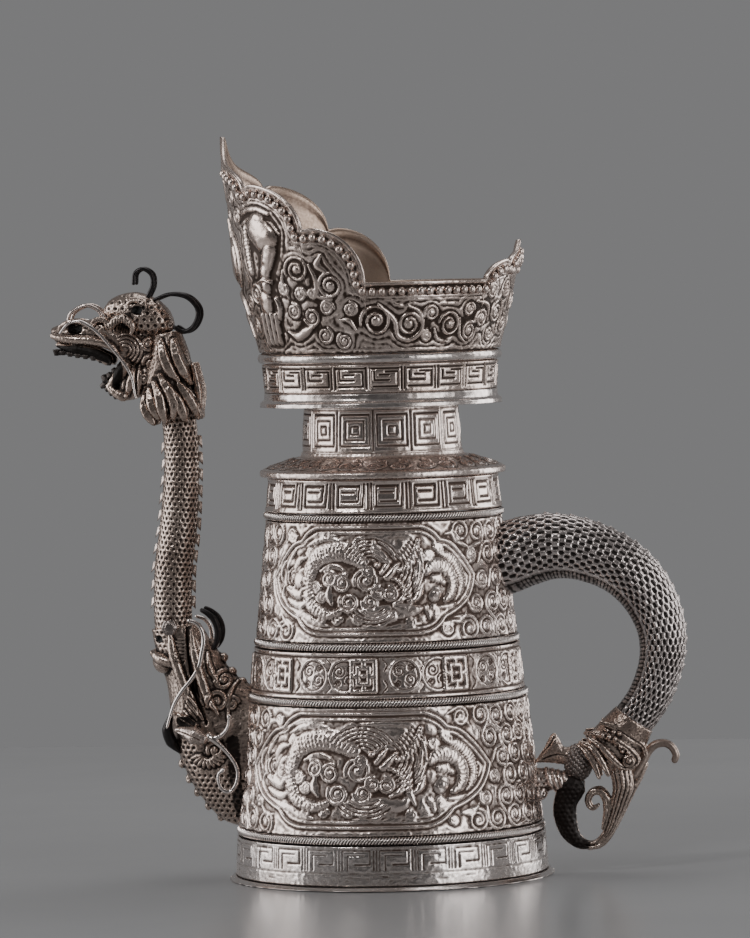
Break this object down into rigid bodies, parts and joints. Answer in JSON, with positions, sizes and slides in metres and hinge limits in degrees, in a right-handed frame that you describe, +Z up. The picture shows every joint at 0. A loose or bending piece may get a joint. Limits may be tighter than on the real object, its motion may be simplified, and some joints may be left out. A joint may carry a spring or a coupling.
{
  "type": "silver water pitcher",
  "caption": "Tapered silver ewer with relief bands and rope wires, a flared crown mouth rising to a point, a dragon-head spout on a makara and a scaled dragon-tail handle.",
  "frame": {"origin": "centre of the underside of the base plate, where the pitcher stands", "axes": "+Z up along the body's axis; +X from the body's axis to the handle, so -X points to the spout; +Y completes the right-handed frame, to the far side when the spout is on the left"},
  "size_m": [0.2728, 0.138, 0.3201],
  "materials": {
    "worn_silver": "old chased silver, satin, with dark patina in the recesses",
    "bright_silver": "silver wire and moulding, rubbed bright",
    "dark_silver": "darkened silver or iron-toned cast pieces"
  },
  "bodies": {
    "root": {"base_plate": "worn_silver", "bead_cluster": "dark_silver", "brow_left": "dark_silver", "brow_right": "dark_silver", "crest_loop_left": "dark_silver", "crest_loop_right": "dark_silver", "crown_flange": "worn_silver", "crown_fret_band": "worn_silver", "crown_moulding": "bright_silver", "crown_wall": "worn_silver", "dragon_lower_jaw": "worn_silver", "dragon_mane": "worn_silver", "dragon_skull": "worn_silver", "dragon_upper_jaw": "worn_silver", "foot_band": "worn_silver", "foot_rope_wire": "bright_silver", "handle_leaf_tab": "worn_silver", "handle_link": "dark_silver", "handle_mouth": "worn_silver", "handle_ridge_fin": "bright_silver", "handle_socket": "worn_silver", "handle_tube": "worn_silver", "horn_curl_left": "bright_silver", "horn_curl_right": "bright_silver", "inner_curl": "worn_silver", "lower_panel": "worn_silver", "lower_rope_wire": "bright_silver", "makara_boss_left": "dark_silver", "makara_boss_right": "dark_silver", "makara_feeler_left": "bright_silver", "makara_feeler_right": "bright_silver", "makara_shell": "worn_silver", "makara_tongue_leaf_left": "dark_silver", "makara_tongue_leaf_right": "dark_silver", "makara_whisker_left": "bright_silver", "makara_whisker_right": "bright_silver", "middle_band": "worn_silver", "middle_rope_wire": "bright_silver", "neck_back_fin": "bright_silver", "neck_collar": "worn_silver", "neck_front_fin": "bright_silver", "nose_whisker_left": "bright_silver", "nose_whisker_right": "bright_silver", "shoulder_fret_band": "worn_silver", "shoulder_plate": "worn_silver", "spout_neck": "worn_silver", "tail_loop": "worn_silver", "trunk_curl": "dark_silver", "upper_panel": "worn_silver", "upper_rope_wire": "bright_silver"}
  },
  "joints": []
}
